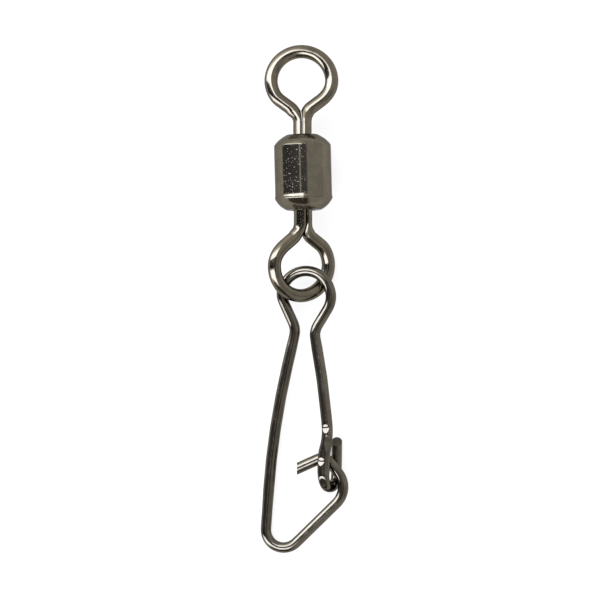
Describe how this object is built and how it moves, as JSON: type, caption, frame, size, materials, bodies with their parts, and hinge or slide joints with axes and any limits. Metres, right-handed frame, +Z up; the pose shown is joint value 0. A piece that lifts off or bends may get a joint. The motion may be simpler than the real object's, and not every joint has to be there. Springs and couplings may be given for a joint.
{
  "type": "fishing snap swivel",
  "caption": "Barrel swivel with two wire eyes that turn in a turned metal barrel, and a hooked wire snap linked through the lower eye.",
  "frame": {"origin": "on the surface that the object lies on, under the middle of its bounding box", "axes": "+Y along the swivel axis from the snap towards the line eye, +X to the right, +Z up from the surface it lies on"},
  "size_m": [0.0088, 0.0508, 0.0058],
  "materials": {
    "barrel_metal": "polished black nickel plating",
    "eye_wire": "polished black nickel plating",
    "snap_wire": "polished black nickel plating"
  },
  "bodies": {
    "barrel": {"barrel": "barrel_metal"},
    "upper_eye": {"upper_eye": "eye_wire"},
    "lower_eye": {"lower_eye": "eye_wire"},
    "snap": {"snap": "snap_wire"}
  },
  "joints": [
    {"name": "upper_eye_spin", "type": "hinge", "parent": "barrel", "child": "upper_eye", "pos_m": [-0.00015, 0.01648, 0.00289], "axis": [0, 1, 0], "continuous": true},
    {"name": "lower_eye_spin", "type": "hinge", "parent": "barrel", "child": "lower_eye", "pos_m": [-0.00015, 0.00886, 0.00289], "axis": [0, 1, 0], "continuous": true},
    {"name": "snap_swing", "type": "hinge", "parent": "lower_eye", "child": "snap", "pos_m": [0.00015, 0.00038, 0.00179], "axis": [-0.1327, -0.0305, 0.9907], "range_deg": [-125, 125]}
  ]
}
